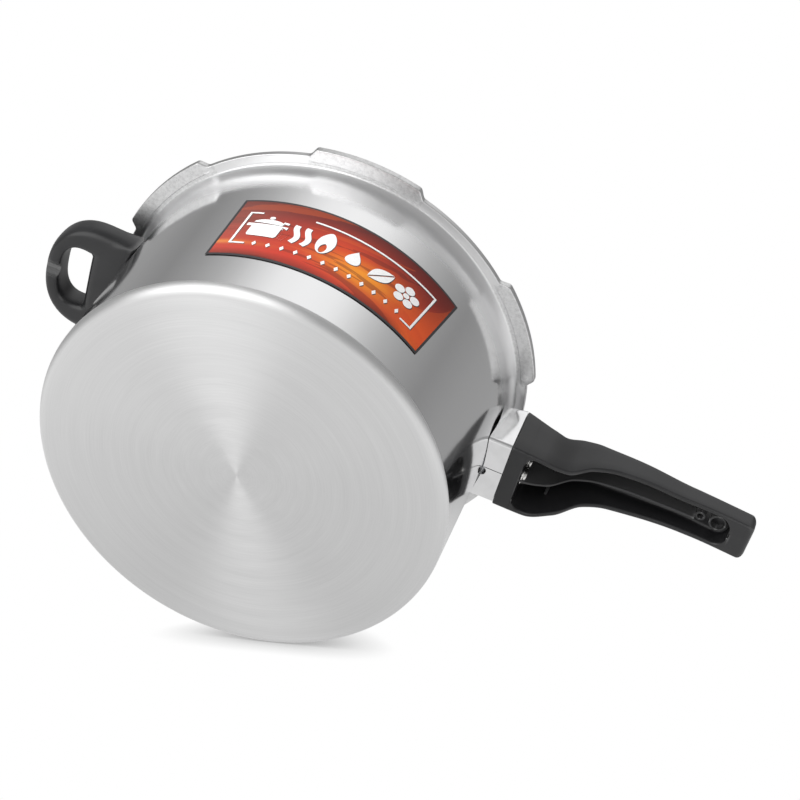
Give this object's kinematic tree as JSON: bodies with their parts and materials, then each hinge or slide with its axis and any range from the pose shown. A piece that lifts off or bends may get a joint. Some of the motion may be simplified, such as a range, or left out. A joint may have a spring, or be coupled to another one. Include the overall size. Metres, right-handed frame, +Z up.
{
  "type": "stovetop pressure cooker body",
  "caption": "Aluminium stovetop pressure cooker pot with a bayonet rim, long handle, flame guard and helper handle, without its lid.",
  "frame": {"origin": "centre of the base's underside, on the pot's axis", "axes": "+Z up the pot's axis to the rim, +X out along the long handle, -X out to the helper handle, -Y out through the label"},
  "size_m": [0.4858, 0.2914, 0.15],
  "materials": {
    "pot_aluminium": "mirror-polished wall, turned base, as-forged rim lugs",
    "label_foil": "glossy printed foil",
    "guard_steel": "polished stainless sheet",
    "zinc_steel": "zinc-plated pressed steel",
    "screw_steel": "bright nickel-plated steel",
    "rivet_aluminium": "plain aluminium",
    "black_bakelite": "moulded black phenolic, satin"
  },
  "bodies": {
    "root": {"pot_body": "pot_aluminium", "product_label": "label_foil", "flame_guard": "guard_steel", "long_handle_grip": "black_bakelite", "handle_bracket": "zinc_steel", "handle_rivet_1": "rivet_aluminium", "handle_rivet_2": "rivet_aluminium", "handle_rivet_3": "rivet_aluminium", "handle_screw_1": "screw_steel", "handle_screw_2": "screw_steel", "handle_washer_1": "screw_steel", "handle_washer_2": "screw_steel", "handle_nut_1": "zinc_steel", "handle_nut_2": "zinc_steel", "helper_handle_grip": "black_bakelite", "helper_bracket": "zinc_steel", "helper_rivet_1": "rivet_aluminium", "helper_rivet_2": "rivet_aluminium", "helper_screw": "screw_steel", "helper_washer": "screw_steel", "helper_nut": "zinc_steel"}
  },
  "joints": []
}
